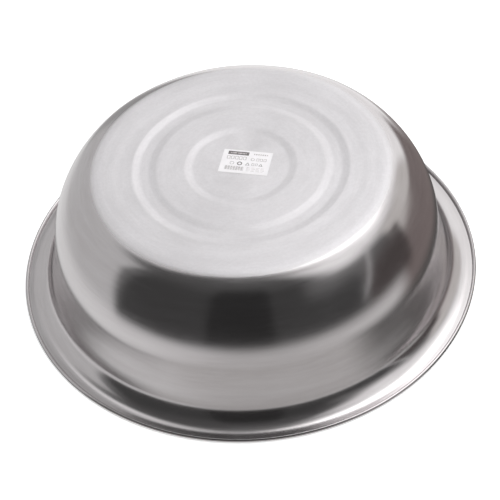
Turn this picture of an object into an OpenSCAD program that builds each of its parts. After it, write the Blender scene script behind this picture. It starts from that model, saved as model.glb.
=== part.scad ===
// A large round basin of thin stainless sheet, standing upside down on its rim.
// +Z points up from the rim plane to the base. The origin is the centre of the rim, on the
// surface that the rim rests on. X runs along the long side of the paper label.

/* [Bowl] */
// Diameter over the rolled edge of the brim
rim_d = 440; // [436:1:450]
// Height from the rim plane to the flat of the base
bowl_h = 130; // [126:1:134]
// Thickness of the steel sheet
sheet_t = 0.5; // [0.4:0.1:0.8]
// Diameter at which the wall's curve stands, or would stand, upright
belly_d = 367; // [362:1:369]
// Height above the rim plane at which the wall's curve stands, or would stand, upright
belly_z = 47; // [45:1:49]
// Radius of the wall's curve, seen in section
belly_curve = 106; // [102:1:110]
// Radius of the turn from the wall into the base
shoulder_curve = 36; // [32:1:38]

/* [Brim] */
// Radius of the hollow curve where the lower wall opens out
flare_curve = 140; // [130:5:150]
// Angle to which the hollow curve turns, measured from upright
flare_angle = 18; // [16:1:19]
// Length of the straight flare below the hollow curve
flare_length = 11; // [9:1:13]
// Radius of the hollow curve from the flare into the brim
sweep_curve = 21; // [19:1:23]
// Slope of the brim, rising from the rolled edge towards the wall
brim_slope = 0; // [0:0.5:1]
// Thickness of the rolled edge
curl_d = 3.4; // [3:0.1:4]
// Gap between the end of the rolled sheet and the brim
curl_gap = 0.3; // [0.2:0.1:0.5]

/* [Base rings] */
// Radius in the middle of the slope round the sunken centre
centre_r = 48.5; // [47:0.5:52]
// Depth of the sunken centre
centre_depth = 1.2; // [0.8:0.1:1.6]
// Radius in the middle of the pressed ring
ring_r = 89.5; // [84:0.5:94]
// Width of the flat floor of the pressed ring
ring_floor = 8.5; // [6:0.5:12]
// Depth of the pressed ring
ring_depth = 1.2; // [0.8:0.1:1.6]
// Width of each slope between two levels of the base
slope_w = 6.9; // [5:0.1:8]
// Radius of the faint outer step
faint_r = 116; // [113:1:120]
// Height of the faint outer step
faint_depth = 0.25; // [0.1:0.05:0.4]

/* [Label] */
// Length of the paper label
label_l = 46; // [42:0.5:48]
// Width of the paper label
label_w = 30.5; // [28:0.5:32]
// Thickness of the paper
paper_t = 0.12; // [0.1:0.01:0.2]
// Thickness of the glue under the paper
glue_t = 0.04; // [0.03:0.01:0.06]
// Thickness of the print on the paper
ink_t = 0.02; // [0.02:0.01:0.04]
// How far the glue stops short of the paper's edge
glue_inset = 0.2; // [0.1:0.1:0.5]
// Distance of the label's centre from the bowl's axis along X
label_x = 3.5; // [0:0.5:6]
// Distance of the label's centre from the bowl's axis along Y
label_y = 5; // [0:0.5:6]

/* [Hidden] */
$fn = 180;

// ---- points along an arc of the section, from angle a0 to a1, in steps of about 4 degrees ----
function arc(centre, r, a0, a1, step = 4) =
    let (n = max(2, ceil(abs(a1 - a0) / step)))
    [for (i = [0:n]) let (a = a0 + (a1 - a0) * i / n) centre + r * [cos(a), sin(a)]];

// ---- centres of the wall's curves, on the outer face of the sheet ----
belly_c = [belly_d / 2 - belly_curve, belly_z];
shoulder_lift = bowl_h - shoulder_curve - belly_z;
shoulder_reach = sqrt(pow(belly_curve - shoulder_curve, 2) - pow(shoulder_lift, 2));
shoulder_c = belly_c + [shoulder_reach, shoulder_lift];
shoulder_a = atan2(shoulder_lift, shoulder_reach);

// The brim's outer face runs along a straight line into the rolled edge. The angle at which
// the wall turns into the flare follows from the height that is left for the wall.
brim_end = [rim_d / 2 - curl_d / 2, sheet_t];
flare_in = [cos(flare_angle), sin(flare_angle)];
flare_down = [sin(flare_angle), -cos(flare_angle)];
flare_to_sweep = (sweep_curve - flare_curve) * flare_in + flare_length * flare_down;
flare_rise = belly_z + flare_to_sweep[1] - brim_end[1] - sweep_curve / cos(brim_slope)
    - (brim_end[0] - belly_c[0] - flare_to_sweep[0]) * tan(brim_slope);
turn_a = brim_slope + asin(cos(brim_slope) * flare_rise / (belly_curve + flare_curve));
flare_c = belly_c + (belly_curve + flare_curve) * [cos(turn_a), -sin(turn_a)];
sweep_c = flare_c + flare_to_sweep;
curl_c = brim_end + [0, curl_d / 2 - sheet_t];

// ---- the base: its outer face is a flat with smooth steps pressed into it ----
function step_up(r, middle, w) =
    let (u = (r - middle) / w + 0.5) u <= 0 ? 0 : u >= 1 ? 1 : (1 - cos(180 * u)) / 2;
ring_in = ring_r - (ring_floor + slope_w) / 2;
ring_out = ring_r + (ring_floor + slope_w) / 2;
function base_z(r) =
    bowl_h - faint_depth * (1 - step_up(r, faint_r, slope_w))
    - centre_depth * (1 - step_up(r, centre_r, slope_w))
    - ring_depth * (step_up(r, ring_in, slope_w) - step_up(r, ring_out, slope_w));
slope_steps = 8;
base_radii = concat([0],
    [for (middle = [centre_r, ring_in, ring_out, faint_r], i = [0:slope_steps])
        middle + slope_w * (i / slope_steps - 0.5)]);
base_line = [for (r = base_radii) [r, base_z(r)]];

// ---- one face of the sheet from the base to the brim, moved in by d from the outer face ----
function sheet_face(d) = concat(
    [for (p = base_line) p - [0, d]],
    arc(shoulder_c, shoulder_curve - d, 90, shoulder_a),
    arc(belly_c, belly_curve - d, shoulder_a, -turn_a, 2),
    arc(flare_c, flare_curve + d, 180 - turn_a, 180 + flare_angle, 2),
    arc(sweep_c, sweep_curve + d, 180 + flare_angle, 270 - brim_slope));
function reversed(list) = [for (i = [len(list) - 1:-1:0]) list[i]];

// ---- the rolled edge: the sheet turns up and over until it nearly meets the brim again ----
curl_outer = curl_d / 2;
curl_inner = curl_outer - sheet_t;
curl_end = 180 + asin(1 - (sheet_t + curl_gap) / curl_outer);
curl_line = concat(
    arc(curl_c, curl_inner, -90, curl_end, 12),
    arc(curl_c, curl_outer, curl_end, -90, 12));

module bowl_shell()
    color("lightslategray")
    rotate_extrude()
    polygon(concat(sheet_face(0), curl_line, reversed(sheet_face(sheet_t))));

// ---- the label lies on the sunken centre of the base: glue, paper, then print ----
glue_z = base_z(0);
paper_z = glue_z + glue_t;
print_z = paper_z + paper_t;
module sheet_block(l, w, t) translate([-l / 2, -w / 2, 0]) cube([l, w, t]);

module label_glue()
    color("khaki")
    translate([label_x, label_y, glue_z])
    sheet_block(label_l - 2 * glue_inset, label_w - 2 * glue_inset, glue_t);

module label_paper()
    color("white")
    translate([label_x, label_y, paper_z])
    sheet_block(label_l, label_w, paper_t);

// ---- the print: places are from the label's top left corner, x to the right and y down ----
module at_mark(p) translate([p[0] - label_l / 2, label_w / 2 - p[1], 0]) children();
module mark(p, size) at_mark(p + [0, size[1]]) cube([size[0], size[1], ink_t]);

module frame_mark(p, size, line)
    difference() {
        mark(p, size);
        translate([0, 0, -ink_t])
        at_mark(p + [line, size[1] - line])
        cube([size[0] - 2 * line, size[1] - 2 * line, 3 * ink_t]);
    }

module ring_mark(p, d, line, sides = 48)
    at_mark(p)
    rotate(90)
    difference() {
        cylinder(h = ink_t, d = d, $fn = sides);
        translate([0, 0, -ink_t]) cylinder(h = 3 * ink_t, d = d - 2 * line, $fn = sides);
    }

// a row of equal frames that stands for a word
module frame_row(p, size, pitch, count, line)
    for (i = [0:count - 1]) frame_mark(p + [pitch * i, 0], size, line);

bold = 1;
plain = 0.45;
fine = 0.3;

header_at = [4.7, 1.9];
header_size = [19.5, 4.4];
code_at = [28.8, 3.1];
code_size = [1.2, 1.6];
code_pitch = 2;
code_count = 7;
word_at = [4.6, 8.3];
word_size = [3, 4.2];
word_pitch = 3.8;
word_count = 5;
across_at = [29, 10.9];
across_d = 3.6;
size_at = [32.4, 9.2];
size_size = [2.6, 3.4];
size_pitch = 3.4;
size_count = 3;

icon_y = 17.6;
icon_ring = [10.6, 4];
icon_disc = [17.8, 4.8];
icon_loop = [25.3, 5];
icon_small = [37.6, 4.6];
icon_drop = 0.4;
icon_box_at = [29.2, 16];
icon_box_size = [2.2, 3];
icon_box_pitch = 3.2;

bars_at = [5, 21.6];
bars_h = 5.2;
bar_pitch = 0.62;
bar_count = 29;
function bar_w(i) = 0.2 + 0.1 * ((i * i + i) % 4);

lines_at = [25.4, 21.8];
lines_pitch = [4.4, 1.5];
line_h = 0.4;
function line_w(line, word) = 2.6 + (line + word) % 3 * 0.6;

module label_print()
    color("dimgray")
    translate([label_x, label_y, print_z]) {
        mark(header_at, header_size);
        frame_row(word_at, word_size, word_pitch, word_count, plain);
        for (i = [0:code_count - 1]) mark(code_at + [code_pitch * i, 0], code_size);
        ring_mark(across_at, across_d, plain);
        frame_row(size_at, size_size, size_pitch, size_count, plain);
        ring_mark([icon_ring[0], icon_y], icon_ring[1], fine);
        ring_mark([icon_disc[0], icon_y], icon_disc[1], bold);
        ring_mark([icon_loop[0], icon_y + icon_drop], icon_loop[1], plain * 2, 3);
        frame_row(icon_box_at, icon_box_size, icon_box_pitch, 2, fine);
        ring_mark([icon_small[0], icon_y + icon_drop], icon_small[1], bold, 3);
        for (i = [0:bar_count - 1]) mark(bars_at + [bar_pitch * i, 0], [bar_w(i), bars_h]);
        for (line = [0:3], word = [0:3])
            mark(lines_at + [lines_pitch[0] * word, lines_pitch[1] * line],
                [line_w(line, word), line_h]);
    }

bowl_shell();
label_glue();
label_paper();
label_print();
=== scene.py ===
"""A large stainless basin that stands upside down on its rim, with a paper label on its base.

The steel shell is turned in mesh code from the same section as the CAD shell, with straight
bevels round the base rings, two faint beads and slow waves. The label's glue, paper and print
are the CAD nodes with finished materials. All lengths are in metres.
"""
import math
import random

import bpy
from mathutils import Matrix, Vector


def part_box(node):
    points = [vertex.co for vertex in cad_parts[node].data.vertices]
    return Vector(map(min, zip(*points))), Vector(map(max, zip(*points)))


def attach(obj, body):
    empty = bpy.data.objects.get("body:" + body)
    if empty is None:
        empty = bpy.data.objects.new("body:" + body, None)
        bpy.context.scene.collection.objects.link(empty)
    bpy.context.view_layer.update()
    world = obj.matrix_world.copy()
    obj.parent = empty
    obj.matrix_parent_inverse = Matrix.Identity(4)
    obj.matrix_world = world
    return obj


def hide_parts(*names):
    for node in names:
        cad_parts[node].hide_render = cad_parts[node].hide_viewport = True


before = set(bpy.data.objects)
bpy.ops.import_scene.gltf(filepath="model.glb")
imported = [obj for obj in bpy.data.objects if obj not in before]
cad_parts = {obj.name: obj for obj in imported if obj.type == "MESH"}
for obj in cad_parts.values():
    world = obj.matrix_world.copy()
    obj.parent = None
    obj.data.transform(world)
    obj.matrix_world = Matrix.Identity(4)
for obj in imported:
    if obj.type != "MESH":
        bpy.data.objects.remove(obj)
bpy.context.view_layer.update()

# ---- places from the frame ----
_, SHELL_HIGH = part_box("bowl_shell")
RIM_RADIUS = SHELL_HIGH.x
HEIGHT = SHELL_HIGH.z
PAPER_LOW, PAPER_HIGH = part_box("label_paper")

# ---- the section of the sheet ----
SHEET = 0.0005
BELLY_RADIUS = 0.1835
BELLY_HEIGHT = 0.047
BELLY_CURVE = 0.106
SHOULDER_CURVE = 0.036
FLARE_CURVE = 0.140
FLARE_ANGLE = 18
FLARE_LENGTH = 0.011
SWEEP_CURVE = 0.021
CURL = 0.0034
CURL_GAP = 0.0003
SLOPE_WIDTH = 0.0069
# a step: radius in the middle of its slope, and its depth
CENTRE_STEP = (0.0485, 0.0012)
FAINT_STEP = (0.116, 0.00025)
RING_MIDDLE = 0.0895
RING_FLOOR = 0.0085
RING_DEPTH = 0.0012
BEVEL_ROUNDING = 0.0009
ROUNDING_STEPS = 3
# a faint bead: its radius, half width and height
RING_LIP = (0.1012, 0.0026, 0.00009)
EDGE_BEAD = (0.1310, 0.0018, 0.00006)

# ---- how finely the shell is cut ----
TURNS = 288
OUTER_STEP = 0.0012
INNER_STEP = 0.0045

# ---- the sheet isn't perfectly true: slow waves that a press and handling leave ----
WAVE_SEED = 7
WAVE_COUNT = 9
WAVE_HEIGHT = 0.00009
WAVE_TURNS = (2, 9)
WAVE_RATE = (15, 55)
WAVE_SIZE = (0.4, 1)
# the waves fade out towards the axis and towards the rolled edge (distance from the edge)
CALM_MIDDLE = 0.06
CALM_EDGE = (0.02, 0.006)
# where they turn from sideways to upright, below the base
WAVE_TURN = (0.03, 0.005)

# ---- the photographer's place ----
VIEW_AZIMUTH = 15.3
VIEW_ELEVATION = 46.781
VIEW_DISTANCE = 1.5086
VIEW_ROLL = 5.224
VIEW_PAN = 0.057
VIEW_TILT = -0.401
LENS = 110.67
SENSOR = 36


def arc(centre, radius, start, end, step):
    """Points along an arc, angles in degrees, no further apart than step."""
    length = abs(math.radians(end - start)) * radius
    count = max(3, math.ceil(length / step))
    points = []
    for i in range(count + 1):
        a = math.radians(start + (end - start) * i / count)
        points.append((centre[0] + radius * math.cos(a), centre[1] + radius * math.sin(a)))
    return points


def step_up(r, middle, width):
    """A straight bevel from 0 to 1 with small roundings at its two ends."""
    total = 0.0
    for i in range(-ROUNDING_STEPS, ROUNDING_STEPS + 1):
        shift = BEVEL_ROUNDING * i / ROUNDING_STEPS
        total += min(1.0, max(0.0, (r + shift - middle) / width + 0.5))
    return total / (2 * ROUNDING_STEPS + 1)


def base_height(r):
    """Height of the base's outer face: a flat with smooth steps pressed into it."""
    half = (RING_FLOOR + SLOPE_WIDTH) / 2
    z = HEIGHT
    z -= FAINT_STEP[1] * (1 - step_up(r, FAINT_STEP[0], SLOPE_WIDTH))
    z -= CENTRE_STEP[1] * (1 - step_up(r, CENTRE_STEP[0], SLOPE_WIDTH))
    z -= RING_DEPTH * (step_up(r, RING_MIDDLE - half, SLOPE_WIDTH)
                       - step_up(r, RING_MIDDLE + half, SLOPE_WIDTH))
    for (middle, width, height), way in ((RING_LIP, 1), (EDGE_BEAD, -1)):
        z += way * height * math.exp(-((r - middle) / width) ** 2)
    return z


def section_centres():
    """Centres of the wall's arcs on the outer face, and the angles where they meet."""
    belly = Vector((BELLY_RADIUS - BELLY_CURVE, BELLY_HEIGHT))
    lift = HEIGHT - SHOULDER_CURVE - BELLY_HEIGHT
    reach = math.sqrt((BELLY_CURVE - SHOULDER_CURVE) ** 2 - lift ** 2)
    shoulder = belly + Vector((reach, lift))
    shoulder_angle = math.degrees(math.atan2(lift, reach))
    flare = math.radians(FLARE_ANGLE)
    inward = Vector((math.cos(flare), math.sin(flare)))
    down = Vector((math.sin(flare), -math.cos(flare)))
    to_sweep = (SWEEP_CURVE - FLARE_CURVE) * inward + FLARE_LENGTH * down
    turn = math.asin((BELLY_HEIGHT + to_sweep[1] - SHEET - SWEEP_CURVE)
                     / (BELLY_CURVE + FLARE_CURVE))
    flare_centre = belly + (BELLY_CURVE + FLARE_CURVE) * Vector((math.cos(turn), -math.sin(turn)))
    sweep = flare_centre + to_sweep
    return belly, shoulder, shoulder_angle, flare_centre, sweep, math.degrees(turn)


def sheet_face(depth, step):
    """One face of the sheet, depth below the outer one, from the base's middle to the brim."""
    belly, shoulder, shoulder_angle, flare, sweep, turn = section_centres()
    flat_end = shoulder[0]
    count = math.ceil(flat_end / step)
    points = [(flat_end * i / count, base_height(flat_end * i / count) - depth)
              for i in range(count)]
    points += arc(shoulder, SHOULDER_CURVE - depth, 90, shoulder_angle, step / 2)
    points += arc(belly, BELLY_CURVE - depth, shoulder_angle, -turn, step)[1:]
    points += arc(flare, FLARE_CURVE + depth, 180 - turn, 180 + FLARE_ANGLE, step)[1:]
    low = arc(sweep, SWEEP_CURVE + depth, 180 + FLARE_ANGLE, 270, step / 2)
    straight = math.ceil(FLARE_LENGTH / step)
    top = points[-1]
    points += [(top[0] + (low[0][0] - top[0]) * i / straight,
                top[1] + (low[0][1] - top[1]) * i / straight) for i in range(1, straight)]
    points += low
    brim_end = RIM_RADIUS - CURL / 2
    flat_start = points[-1]
    count = math.ceil((brim_end - flat_start[0]) / step)
    points += [(flat_start[0] + (brim_end - flat_start[0]) * i / count, flat_start[1])
               for i in range(1, count)]
    return points


def curl_line():
    """The rolled edge: round inside the curl to its cut end, and back round the outside."""
    centre = (RIM_RADIUS - CURL / 2, CURL / 2)
    outer = CURL / 2
    end = 180 + math.degrees(math.asin(1 - (SHEET + CURL_GAP) / outer))
    return (arc(centre, outer - SHEET, -90, end, 0.0004)
            + arc(centre, outer, end, -90, 0.0004))


def waves():
    """Slow waves over the sheet: how far a point stands out, by direction and height."""
    draw = random.Random(WAVE_SEED)
    parts = [(draw.randint(*WAVE_TURNS), draw.uniform(0, math.tau), draw.uniform(*WAVE_RATE),
              draw.uniform(0, math.tau), draw.uniform(*WAVE_SIZE)) for _ in range(WAVE_COUNT)]

    def height(angle, along):
        return WAVE_HEIGHT * sum(
            size * math.sin(turns * angle + phase + rate * along) * math.cos(rate * along + shift)
            for turns, phase, rate, shift, size in parts)
    return height


def smooth(low, high, value):
    u = min(1.0, max(0.0, (value - low) / (high - low)))
    return u * u * (3 - 2 * u)


def turned_shell(name):
    """The shell as a lathe mesh: outer face, rolled edge and inner face in one closed skin."""
    line = (sheet_face(0, OUTER_STEP) + curl_line()
            + list(reversed(sheet_face(SHEET, INNER_STEP))))
    height = waves()
    vertices, faces, rings = [], [], []
    for i, (r, z) in enumerate(line):
        if r < 1e-6:
            rings.append([len(vertices)])
            vertices.append((0, 0, z))
            continue
        calm = smooth(0.0, CALM_MIDDLE, r) * (
            1 - smooth(RIM_RADIUS - CALM_EDGE[0], RIM_RADIUS - CALM_EDGE[1], r))
        upright = 1 - smooth(HEIGHT - WAVE_TURN[0], HEIGHT - WAVE_TURN[1], z)
        ring = []
        for k in range(TURNS):
            a = math.tau * k / TURNS
            out = height(a, r - z) * calm
            radius = r + out * upright
            ring.append(len(vertices))
            vertices.append((radius * math.cos(a), radius * math.sin(a),
                             z + out * (1 - upright)))
        rings.append(ring)
    for inner, outer in zip(rings, rings[1:]):
        for k in range(TURNS):
            n = (k + 1) % TURNS
            if len(inner) == 1:
                faces.append((inner[0], outer[k], outer[n]))
            elif len(outer) == 1:
                faces.append((inner[k], outer[0], inner[n]))
            else:
                faces.append((inner[k], outer[k], outer[n], inner[n]))
    mesh = bpy.data.meshes.new(name)
    mesh.from_pydata(vertices, [], faces)
    mesh.polygons.foreach_set("use_smooth", [True] * len(faces))
    mesh.validate()
    shell = bpy.data.objects.new(name, mesh)
    bpy.context.scene.collection.objects.link(shell)
    return shell


class Nodes:
    """A short way to write a node tree."""

    def __init__(self, tree):
        self.tree = tree
        tree.nodes.clear()

    def add(self, kind, inputs=None, **settings):
        node = self.tree.nodes.new(kind)
        for key, value in settings.items():
            setattr(node, key, value)
        for key, value in (inputs or {}).items():
            self.put(node.inputs[key], value)
        return node

    def put(self, socket, value):
        if isinstance(value, bpy.types.NodeSocket):
            self.tree.links.new(value, socket)
        else:
            socket.default_value = value

    def math(self, operation, *values):
        node = self.add("ShaderNodeMath", operation=operation)
        for socket, value in zip(node.inputs, values):
            self.put(socket, value)
        return node.outputs[0]

    def ramp(self, value, low, high, start=0.0, end=1.0):
        """value taken smoothly from start to end between low and high."""
        node = self.add("ShaderNodeMapRange", interpolation_type="SMOOTHSTEP", inputs={
            "Value": value, "From Min": low, "From Max": high, "To Min": start, "To Max": end})
        return node.outputs["Result"]

    def mix(self, factor, a, b):
        node = self.add("ShaderNodeMix", data_type="RGBA")
        self.put(node.inputs[0], factor)
        self.put(node.inputs[6], a)
        self.put(node.inputs[7], b)
        return node.outputs[2]

    def noise(self, vector, scale, detail=2.0, roughness=0.5):
        node = self.add("ShaderNodeTexNoise", inputs={
            "Vector": vector, "Scale": scale, "Detail": detail, "Roughness": roughness})
        return node.outputs[0]

    def split(self, vector):
        return self.add("ShaderNodeSeparateXYZ", {0: vector}).outputs

    def join(self, x, y, z):
        return self.add("ShaderNodeCombineXYZ", {0: x, 1: y, 2: z}).outputs[0]


def new_material(name):
    material = bpy.data.materials.new(name)
    material.use_nodes = True
    return material, Nodes(material.node_tree)


def grey(value, warm=0.0):
    """A colour a little warmer or cooler than grey."""
    return (value * (1 + warm), value, value * (1 - warm), 1)


# ---- steel: the light and dark of its grooves, and how the base differs from the wall ----
WALL_LIGHT = (0.672, 0.650, 0.656, 1)
WALL_DARK = (0.590, 0.562, 0.566, 1)
BASE_LIGHT = (0.812, 0.794, 0.812, 1)
BASE_DARK = (0.720, 0.701, 0.717, 1)
BASE_ROUGHNESS = 0.50
WALL_ROUGHNESS = 0.17
WALL_ANISOTROPY = 0.7
BASE_ANISOTROPY = 0.25
BASE_METALLIC = 0.68
BASE_BELOW_TOP = (0.012, 0.004)
BASE_EDGE = (0.1420, 0.1355)
BASE_MOTTLE = 0.45
# streaks round the bowl: how short they are, and their pitch along the section
BROAD_STREAK = (2.2, 0.011)
FINE_STREAK = (9, 0.0012)
HAIR_STREAK = (26, 0.0005)
AXIS_GUARD = 0.002
GROOVE_DEPTH = 0.00006


def steel_material():
    """Brushed steel: grooves run round the bowl, finest on the wall and dullest on the base."""
    material, n = new_material("steel_turned")
    place = n.add("ShaderNodeTexCoord").outputs["Object"]
    x, y, z = n.split(place)
    radius = n.math("MAXIMUM", n.math("SQRT", n.math(
        "ADD", n.math("MULTIPLY", x, x), n.math("MULTIPLY", y, y))), AXIS_GUARD)
    cosine = n.math("DIVIDE", x, radius)
    sine = n.math("DIVIDE", y, radius)
    along = n.math("SUBTRACT", radius, z)

    def streaks(turning, pitch, detail):
        """Noise drawn out round the bowl: turning sets how short a streak is."""
        vector = n.join(n.math("MULTIPLY", cosine, turning), n.math("MULTIPLY", sine, turning),
                        n.math("DIVIDE", along, pitch))
        return n.noise(vector, 1.0, detail, 0.6)

    on_base = n.math("MULTIPLY",
                     n.ramp(z, HEIGHT - BASE_BELOW_TOP[0], HEIGHT - BASE_BELOW_TOP[1]),
                     n.ramp(radius, *BASE_EDGE))
    broad = streaks(*BROAD_STREAK, 3)
    fine = streaks(*FINE_STREAK, 4)
    hair = streaks(*HAIR_STREAK, 2)
    blotch = n.noise(place, 22, 3)
    mottle = n.noise(place, 330, 3, 0.7)
    grain = n.noise(place, 900, 2)

    tone = n.math("ADD", n.math("MULTIPLY", broad, 0.5), n.math("MULTIPLY", fine, 0.35))
    tone = n.math("ADD", tone, n.math("MULTIPLY", blotch, 0.3))
    uneven = n.math("MULTIPLY", n.math("SUBTRACT", mottle, 0.5),
                    n.ramp(on_base, 0, 1, 0, BASE_MOTTLE))
    tone = n.math("ADD", tone, uneven)
    shade = n.ramp(tone, 0.35, 0.85)
    colour = n.mix(on_base, n.mix(shade, WALL_DARK, WALL_LIGHT),
                   n.mix(shade, BASE_DARK, BASE_LIGHT))

    rough = n.ramp(on_base, 0, 1, WALL_ROUGHNESS, BASE_ROUGHNESS)
    rough = n.math("ADD", rough, n.math("MULTIPLY", n.math("SUBTRACT", fine, 0.5), 0.10))
    rough = n.math("ADD", rough, n.math("MULTIPLY", n.math("SUBTRACT", blotch, 0.5), 0.06))

    relief = n.math("ADD", n.math("MULTIPLY", fine, 0.6), n.math("MULTIPLY", hair, 0.4))
    relief = n.math("ADD", relief, n.math("MULTIPLY", n.math("MULTIPLY", grain, on_base), 0.5))
    bump = n.add("ShaderNodeBump", {"Strength": 0.35, "Distance": GROOVE_DEPTH, "Height": relief})
    tangent = n.add("ShaderNodeTangent", direction_type="RADIAL", axis="Z")
    shader = n.add("ShaderNodeBsdfPrincipled", {
        "Base Color": colour, "Metallic": n.ramp(on_base, 0, 1, 1.0, BASE_METALLIC),
        "Roughness": rough, "Anisotropic": n.ramp(on_base, 0, 1, WALL_ANISOTROPY, BASE_ANISOTROPY),
        "Anisotropic Rotation": 0.25,
        "Normal": bump.outputs[0], "Tangent": tangent.outputs[0]})
    n.add("ShaderNodeOutputMaterial", {0: shader.outputs[0]})
    return material


# ---- label ----
def paper_material():
    """Smooth coated paper with a faint tooth."""
    material, n = new_material("label_paper_coated")
    place = n.add("ShaderNodeTexCoord").outputs["Object"]
    fibre = n.noise(place, 2600, 3)
    cloud = n.noise(place, 160, 2)
    colour = n.mix(n.ramp(cloud, 0.3, 0.7), (0.925, 0.905, 0.925, 1), (0.965, 0.945, 0.965, 1))
    rough = n.ramp(fibre, 0.2, 0.8, 0.42, 0.6)
    bump = n.add("ShaderNodeBump", {"Strength": 0.3, "Distance": 0.00002, "Height": fibre})
    shader = n.add("ShaderNodeBsdfPrincipled", {
        "Base Color": colour, "Roughness": rough, "Normal": bump.outputs[0]})
    n.add("ShaderNodeOutputMaterial", {0: shader.outputs[0]})
    return material


def glue_material():
    """Thin yellowish glue that shows only at the paper's edge."""
    material, n = new_material("label_glue_soft")
    place = n.add("ShaderNodeTexCoord").outputs["Object"]
    cloud = n.noise(place, 700, 3)
    colour = n.mix(cloud, (0.55, 0.50, 0.38, 1), (0.70, 0.66, 0.54, 1))
    bump = n.add("ShaderNodeBump", {"Strength": 0.4, "Distance": 0.00002, "Height": cloud})
    shader = n.add("ShaderNodeBsdfPrincipled", {
        "Base Color": colour, "Roughness": n.ramp(cloud, 0.2, 0.8, 0.3, 0.5),
        "Normal": bump.outputs[0]})
    n.add("ShaderNodeOutputMaterial", {0: shader.outputs[0]})
    return material


# Each row of the print: how far its lower edge is from the label's top, and its two greys,
# on the left of the split and on the right of it.
INK_ROWS = [
    (0.0072, 0.150, 0.50),
    (0.0140, 0.40, 0.44),
    (0.0208, 0.17, 0.26),
    (0.0305, 0.38, 0.58),
]
INK_SPLIT = 0.0265
INK_TINT = (1.0, 0.93, 0.93, 1)
HEADER_STRIPE = (0.0032, 0.0050, 0.0062, 0.0226)


def ink_material():
    """Matt print, greyer where the lines are fine: dark in the header and in the signs."""
    material, n = new_material("label_ink_matt")
    place = n.add("ShaderNodeTexCoord").outputs["Object"]
    speck = n.noise(place, 3000, 2)
    wear = n.noise(place, 420, 2)
    x, y, z = n.split(place)
    down = n.math("SUBTRACT", PAPER_HIGH.y, y)
    across = n.math("SUBTRACT", x, PAPER_LOW.x)
    right = n.ramp(across, INK_SPLIT - 0.0002, INK_SPLIT + 0.0002)
    value = INK_ROWS[0][1]
    for (end, _, _), (_, left_grey, right_grey) in zip(INK_ROWS, INK_ROWS[1:]):
        value = n.ramp(n.math("GREATER_THAN", down, end), 0, 1, value,
                       n.ramp(right, 0, 1, left_grey, right_grey))
    header = n.math("MULTIPLY", right, n.math("LESS_THAN", down, INK_ROWS[0][0]))
    value = n.ramp(header, 0, 1, value, INK_ROWS[0][2])
    low, high, left, end = HEADER_STRIPE
    stripe = n.math("MULTIPLY", n.ramp(down, low, low + 0.0004), n.ramp(down, high, high - 0.0004))
    stripe = n.math("MULTIPLY", stripe, n.ramp(across, left, left + 0.001))
    stripe = n.math("MULTIPLY", stripe, n.ramp(across, end, end - 0.001))
    letters = n.ramp(n.noise(n.join(across, 0.0, 0.0), 800, 1), 0.42, 0.5, 0.35, 1.0)
    value = n.ramp(n.math("MULTIPLY", stripe, letters), 0, 1, value, 0.62)
    value = n.math("MULTIPLY", value, n.ramp(wear, 0.35, 0.7, 0.85, 1.3))
    colour = n.add("ShaderNodeMix", data_type="RGBA", blend_type="MULTIPLY")
    n.put(colour.inputs[0], 1.0)
    n.put(colour.inputs[6], n.join(value, value, value))
    n.put(colour.inputs[7], INK_TINT)
    shader = n.add("ShaderNodeBsdfPrincipled", {
        "Base Color": colour.outputs[2], "Roughness": n.ramp(speck, 0.2, 0.8, 0.5, 0.7)})
    n.add("ShaderNodeOutputMaterial", {0: shader.outputs[0]})
    return material


# ---- studio: soft light panels all round, and the parts that only the camera or steel sees ----
FLOOR_RADIUS = 40
FLOOR_GLOW = 0.45
BACKDROP_RADIUS = 12
BACKDROP_TOP = 20
BACKDROP_LOW = -1
BACKDROP_GREY = 0.95
ROUND_SIDES = 96
FILL_SIZE = 2.4
FILL_ENERGY = 34
FILL_PLACE = (0.3, 0.4, 2.6)
CLIP_START = 0.05
CLIP_END = 200
AMBIENT = grey(0.17)
# Each panel: middle and half width in degrees round from the photographer's side (positive is
# to the right in the picture) and its softness there, lowest and highest elevation and its
# softness there, how far its middle leans over per degree of elevation, and its light.
PANELS = [
    ("upper_front", -40, 100, 40, 40, 82, 12, 0, grey(0.095)),
    ("back_wall", 180, 52, 24, -90, 72, 20, 0, grey(1.14)),
    ("left_gap", -152, 22, 8, -90, 62, 22, -0.3, grey(0.40)),
    ("left_screen", -118, 39, 7, -90, 52, 16, -0.2, grey(0.62)),
    ("front_dark", -6, 70, 7, -90, 54, 30, 0, grey(0.062)),
    ("camera_stand", -8, 18, 4, -90, 60, 30, 0, grey(0.032)),
    ("front_right_haze", 56, 22, 14, 22, 44, 14, 0, grey(0.17)),
    ("right_lamp", 104, 50, 30, 36, 76, 26, 0, grey(1.1)),
    ("right_wall", 112, 22, 8, -90, 36, 14, 0.15, grey(0.66, 0.03)),
    ("right_low", 122, 30, 8, -90, 3, 8, 0, (0.22, 0.185, 0.18, 1)),
    ("back_lamp", 148, 28, 24, 51, 74, 16, 0, grey(2.7)),
    ("right_stand", 81, 18, 6, -90, 17, 14, 0.1, (0.078, 0.066, 0.065, 1)),
    ("stand_edge", 62, 1.3, 1.4, -5, 42, 8, 0.55, grey(0.62)),
]
# Painted reflection of the lit table in the steel: brightness in front, to the left and to the
# right, a darker brown patch to the right, and painted shade near the rim at the sides and in
# front.
TABLE_FRONT = grey(0.62, 0.008)
TABLE_LEFT = grey(0.86)
TABLE_RIGHT = grey(0.72, 0.008)
TABLE_SHADE_SIDE = grey(0.085, 0.03)
TABLE_SHADE_FRONT = grey(0.50, 0.02)
TABLE_BROWN = (0.235, 0.198, 0.192, 1)
TABLE_RADIUS = 0.9
TABLE_FADE = (0.30, 0.58)
# distances from the axis, to the picture's side and towards the photographer
LEFT_BLEND = (-0.22, -0.02)
RIGHT_BLEND = (0.02, 0.22)
BROWN_SIDE = (0.14, 0.22)
BROWN_NEAR = (0.16, 0.08)
SHADE_START = 0.225
SHADE_END = (-0.2, -0.06, 0.243, 0.300)
SHADE_AT_SIDE = (0.12, 0.175)


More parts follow.
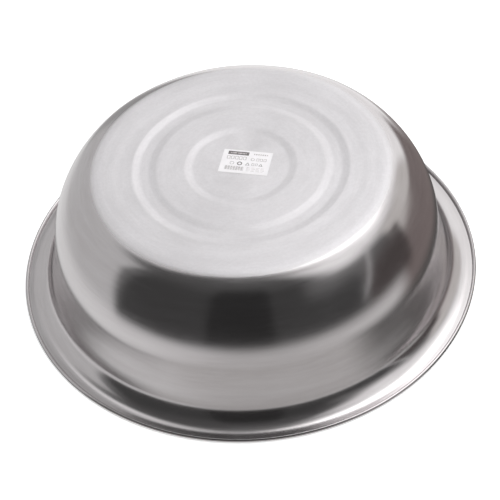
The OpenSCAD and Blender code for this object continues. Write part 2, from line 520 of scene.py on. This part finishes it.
def studio_light():
    """Soft light all round: bright behind and to the right, dark on the photographer's side."""
    world = bpy.data.worlds.new("studio")
    bpy.context.scene.world = world
    world.use_nodes = True
    n = Nodes(world.node_tree)
    direction = n.add("ShaderNodeTexCoord").outputs["Generated"]
    turned = n.add("ShaderNodeVectorRotate", {"Vector": direction,
                   "Angle": math.radians(-VIEW_AZIMUTH)}, rotation_type="Z_AXIS").outputs[0]
    x, y, z = n.split(turned)
    round_angle = n.math("DEGREES", n.math("ARCTAN2", x, n.math("MULTIPLY", y, -1.0)))
    elevation = n.math("DEGREES", n.math("ARCSINE", z))
    colour = AMBIENT
    for name, middle, half, blur, low, high, blur_up, lean, light in PANELS:
        leaning = n.math("MULTIPLY", elevation, lean)
        offset = n.math("SUBTRACT", n.math("SUBTRACT", round_angle, middle), leaning)
        offset = n.math("ABSOLUTE", n.math("WRAP", offset, 180.0, -180.0))
        mask = n.ramp(offset, half - blur / 2, half + blur / 2, 1.0, 0.0)
        under = n.ramp(elevation, high - blur_up / 2, high + blur_up / 2, 1.0, 0.0)
        over = n.ramp(elevation, low - blur_up / 2, low + blur_up / 2)
        mask = n.math("MULTIPLY", mask, n.math("MULTIPLY", under, over))
        colour = n.mix(mask, colour, light)
    background = n.add("ShaderNodeBackground", {0: colour, 1: 1.0})
    n.add("ShaderNodeOutputWorld", {0: background.outputs[0]})


def round_line(radius, z):
    """Corners of a many-sided circle."""
    turns = [math.tau * k / ROUND_SIDES for k in range(ROUND_SIDES)]
    return [(radius * math.cos(a), radius * math.sin(a), z) for a in turns]


def disc(name, radius):
    """A flat plate at the height that the rim rests on."""
    mesh = bpy.data.meshes.new(name)
    mesh.from_pydata(round_line(radius, 0), [], [tuple(range(ROUND_SIDES))])
    plate = bpy.data.objects.new(name, mesh)
    bpy.context.scene.collection.objects.link(plate)
    return plate


def pale_floor():
    """The floor that the camera sees."""
    floor = disc("floor", FLOOR_RADIUS)
    material, n = new_material("floor_pale")
    diffuse = n.add("ShaderNodeBsdfDiffuse", {"Color": grey(0.9)})
    glow = n.add("ShaderNodeEmission", {"Color": grey(1.0), "Strength": FLOOR_GLOW})
    both = n.add("ShaderNodeAddShader", {0: diffuse.outputs[0], 1: glow.outputs[0]})
    n.add("ShaderNodeOutputMaterial", {0: both.outputs[0]})
    floor.data.materials.append(material)
    floor.visible_glossy = False
    floor.visible_diffuse = False
    return floor


def table_in_steel():
    """A glowing disc with the table's painted light and shade, which shows only in the steel and
    fades out all round.
    """
    table = disc("table_reflected", TABLE_RADIUS)
    material, n = new_material("table_painted_light")
    x, y, z = n.split(n.add("ShaderNodeTexCoord").outputs["Object"])
    radius = n.math("SQRT", n.math("ADD", n.math("MULTIPLY", x, x), n.math("MULTIPLY", y, y)))
    turn = math.radians(VIEW_AZIMUTH)
    side = n.math("ADD", n.math("MULTIPLY", x, math.cos(turn)),
                  n.math("MULTIPLY", y, math.sin(turn)))
    near = n.math("SUBTRACT", n.math("MULTIPLY", x, math.sin(turn)),
                  n.math("MULTIPLY", y, math.cos(turn)))
    # painted light: the table shows brighter to the left and right than in front, with a darker
    # brown patch to the right
    colour = n.mix(n.ramp(side, *LEFT_BLEND), TABLE_LEFT, TABLE_FRONT)
    colour = n.mix(n.ramp(side, *RIGHT_BLEND), colour, TABLE_RIGHT)
    brown = n.math("MULTIPLY", n.ramp(side, *BROWN_SIDE), n.ramp(near, *BROWN_NEAR))
    colour = n.mix(brown, colour, TABLE_BROWN)
    # painted shadow of the bowl on the table, darkest next to the rim and deepest at the sides
    shade_end = n.ramp(side, *SHADE_END)
    at_side = n.ramp(n.math("ABSOLUTE", side), *SHADE_AT_SIDE)
    shade = n.mix(at_side, TABLE_SHADE_FRONT, TABLE_SHADE_SIDE)
    colour = n.mix(n.ramp(radius, SHADE_START, shade_end), shade, colour)
    lit = n.add("ShaderNodeEmission", {"Color": colour, "Strength": 1.0})
    clear = n.add("ShaderNodeBsdfTransparent")
    fade = n.add("ShaderNodeMixShader", {0: n.ramp(radius, *TABLE_FADE),
                 1: lit.outputs[0], 2: clear.outputs[0]})
    n.add("ShaderNodeOutputMaterial", {0: fade.outputs[0]})
    table.data.materials.append(material)
    table.visible_camera = False
    table.visible_diffuse = False
    table.visible_shadow = False
    return table


def backdrop():
    """A pale wall round the floor, for low views. Only the camera sees it."""
    mesh = bpy.data.meshes.new("backdrop")
    corners = round_line(BACKDROP_RADIUS, BACKDROP_LOW) + round_line(BACKDROP_RADIUS, BACKDROP_TOP)
    faces = [(k, (k + 1) % ROUND_SIDES, ROUND_SIDES + (k + 1) % ROUND_SIDES, ROUND_SIDES + k)
             for k in range(ROUND_SIDES)]
    mesh.from_pydata(corners, [], faces)
    wall = bpy.data.objects.new("backdrop", mesh)
    bpy.context.scene.collection.objects.link(wall)
    material, n = new_material("backdrop_pale")
    glow = n.add("ShaderNodeEmission", {"Color": grey(BACKDROP_GREY), "Strength": 1.0})
    n.add("ShaderNodeOutputMaterial", {0: glow.outputs[0]})
    wall.data.materials.append(material)
    wall.visible_glossy = False
    wall.visible_diffuse = False
    wall.visible_shadow = False
    return wall


def fill_light():
    """A wide soft light overhead that lifts the paper and the floor, not the steel."""
    lamp = bpy.data.lights.new("fill", "AREA")
    lamp.shape = "DISK"
    lamp.size = FILL_SIZE
    lamp.energy = FILL_ENERGY
    lamp_object = bpy.data.objects.new("fill", lamp)
    lamp_object.location = FILL_PLACE
    direction = -Vector(lamp_object.location)
    lamp_object.rotation_euler = direction.to_track_quat("-Z", "Y").to_euler()
    lamp_object.visible_glossy = False
    bpy.context.scene.collection.objects.link(lamp_object)


def camera():
    """The camera at the photographer's place, with the picture's small roll."""
    elevation = math.radians(VIEW_ELEVATION)
    out = Vector((0, -math.cos(elevation), math.sin(elevation)))
    right = Vector((1, 0, 0))
    down = (-out).cross(right)
    level = Matrix((right, down, -out))
    pan = Matrix.Rotation(math.radians(VIEW_PAN), 3, "Y")
    pan.transpose()
    tilt = Matrix.Rotation(math.radians(VIEW_TILT), 3, "X")
    roll = Matrix.Rotation(math.radians(VIEW_ROLL), 3, "Z")
    roll.transpose()
    rows = roll @ tilt @ pan @ level
    facing = Matrix((rows[0], -rows[1], -rows[2])).transposed()
    turn = Matrix.Rotation(math.radians(VIEW_AZIMUTH), 3, "Z")
    lens = bpy.data.cameras.new("camera")
    lens.lens = LENS
    lens.sensor_width = SENSOR
    lens.clip_start = CLIP_START
    lens.clip_end = CLIP_END
    view = bpy.data.objects.new("camera", lens)
    place = Matrix.Translation(turn @ (out * VIEW_DISTANCE)) @ (turn @ facing).to_4x4()
    view.matrix_world = place
    bpy.context.scene.collection.objects.link(view)
    bpy.context.scene.camera = view


def finish_node(name, material):
    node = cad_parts[name]
    node.data.materials.clear()
    node.data.materials.append(material)


shell = turned_shell("basin_shell")
shell.data.materials.append(steel_material())
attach(shell, "root")
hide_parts("bowl_shell")

finish_node("label_glue", glue_material())
finish_node("label_paper", paper_material())
finish_node("label_print", ink_material())

studio_light()
pale_floor()
table_in_steel()
backdrop()
fill_light()
camera()
bpy.context.scene.view_settings.view_transform = "Standard"
